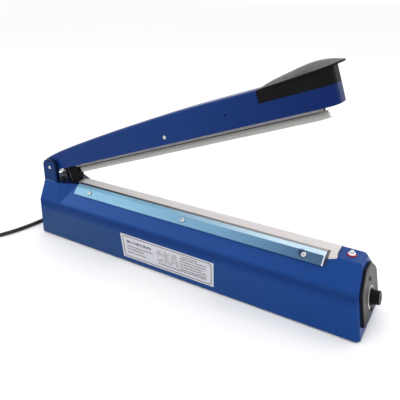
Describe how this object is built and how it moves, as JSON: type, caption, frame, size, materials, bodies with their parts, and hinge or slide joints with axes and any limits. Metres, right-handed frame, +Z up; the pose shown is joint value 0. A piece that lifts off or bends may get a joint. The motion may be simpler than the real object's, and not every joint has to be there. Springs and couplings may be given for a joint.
{
  "type": "impulse heat sealer",
  "caption": "Bench impulse heat sealer: long steel base with a flat sealing bed, a hinged pressing arm with handle, a timer knob, a lamp and a mains cord.",
  "frame": {"origin": "centre of the object's footprint on the surface it stands on, cord left out", "axes": "+X along the base from the hinge end to the timer knob, +Y across towards the back where the cord comes out, +Z up"},
  "size_m": [0.7642, 0.2845, 0.3238],
  "materials": {
    "shell_paint": "satin blue enamel",
    "zinc_sheet": "zinc plated",
    "plated_screw": "plated",
    "foot_rubber": "matt",
    "panel_black": "satin",
    "plate_grey": "brushed, with a printed dial",
    "pot_metal": "plain",
    "lamp_chrome": "polished",
    "lamp_red": "clear red",
    "clip_steel": "plain",
    "rail_aluminium": "extruded",
    "glass_tape": "woven glass fibre",
    "ribbon_alloy": "rolled",
    "ptfe_cloth": "coated glass cloth",
    "strip_paint": "satin light blue",
    "terminal_resin": "moulded",
    "terminal_brass": "plain",
    "label_foil": "printed foil",
    "core_steel": "varnished laminations",
    "winding_tape": "taped",
    "board_green": "solder mask",
    "relay_blue": "moulded",
    "capacitor_sleeve": "sleeve",
    "connector_green": "moulded",
    "switch_black": "moulded",
    "lead_sleeve": "silicone sleeve",
    "pin_steel": "ground",
    "buffer_rubber": "matt",
    "spring_steel": "drawn wire",
    "relief_black": "matt",
    "cord_black": "satin",
    "plug_black": "satin",
    "pin_brass": "plain",
    "arm_paint": "satin blue enamel",
    "channel_aluminium": "extruded",
    "press_rubber": "silicone",
    "ptfe_arm_cloth": "coated glass cloth",
    "actuator_black": "moulded",
    "handle_black": "moulded, fine grain",
    "knob_black": "satin",
    "plunger_red": "moulded"
  },
  "bodies": {
    "base": {"base_shell": "shell_paint", "bottom_plate": "zinc_sheet", "bottom_screws": "plated_screw", "rubber_feet": "foot_rubber", "end_panel": "panel_black", "end_plate": "plate_grey", "end_panel_screws": "plated_screw", "timer_potentiometer": "pot_metal", "potentiometer_nut": "plated_screw", "lamp_bezel": "lamp_chrome", "lamp_lens": "lamp_red", "lamp_clip": "clip_steel", "bed_rail": "rail_aluminium", "insulation_tape": "glass_tape", "heating_ribbon": "ribbon_alloy", "ptfe_bed_cloth": "ptfe_cloth", "front_clamp_strip": "strip_paint", "rear_clamp_strip": "strip_paint", "strip_screws": "plated_screw", "terminal_blocks": "terminal_resin", "terminal_screws": "terminal_brass", "name_label": "label_foil", "transformer_core": "core_steel", "transformer_winding": "winding_tape", "transformer_strap": "zinc_sheet", "transformer_screws": "plated_screw", "timer_board": "board_green", "board_spacers": "plated_screw", "switching_relay": "relay_blue", "board_capacitors": "capacitor_sleeve", "board_connectors": "connector_green", "arm_switch": "switch_black", "switch_bracket": "zinc_sheet", "switch_screws": "plated_screw", "heater_leads": "lead_sleeve", "hinge_pin": "pin_steel", "hinge_washers": "clip_steel", "stop_pin": "pin_steel", "closing_buffer": "buffer_rubber", "return_spring": "spring_steel", "strain_relief": "relief_black", "power_cord": "cord_black", "cord_coil": "cord_black", "cord_tail": "cord_black", "plug_body": "plug_black", "plug_pins": "pin_brass"},
    "arm": {"arm_shell": "arm_paint", "arm_channel": "channel_aluminium", "rubber_strip": "press_rubber", "ptfe_arm_cloth": "ptfe_arm_cloth", "arm_side_screws": "plated_screw", "hinge_plate": "zinc_sheet", "adjusting_bolt": "plated_screw", "adjusting_nut": "plated_screw", "switch_actuator": "actuator_black", "handle": "handle_black", "handle_screws": "plated_screw"},
    "knob": {"timer_knob": "knob_black", "timer_shaft": "pot_metal"},
    "plunger": {"switch_plunger": "plunger_red"}
  },
  "joints": [
    {"name": "arm_hinge", "type": "hinge", "parent": "base", "child": "arm", "pos_m": [-0.2629, 0, 0.117], "axis": [0, 1, 0], "range_deg": [0, 20], "stiffness_Nm_per_rad": 12, "springref_deg": -20.05, "deforming": ["return_spring"]},
    {"name": "timer_knob_turn", "type": "hinge", "parent": "base", "child": "knob", "pos_m": [0.26789, 0, 0.03957], "axis": [0.9816, 0, 0.1908], "range_deg": [-140, 140]},
    {"name": "switch_plunger_slide", "type": "slide", "parent": "base", "child": "plunger", "axis": [0, 0, -1], "range_m": [0, 0.0022]}
  ],
  "couplings": [
    {"joint": "switch_plunger_slide", "follows": "arm_hinge", "m_per_rad": 0.006302}
  ]
}
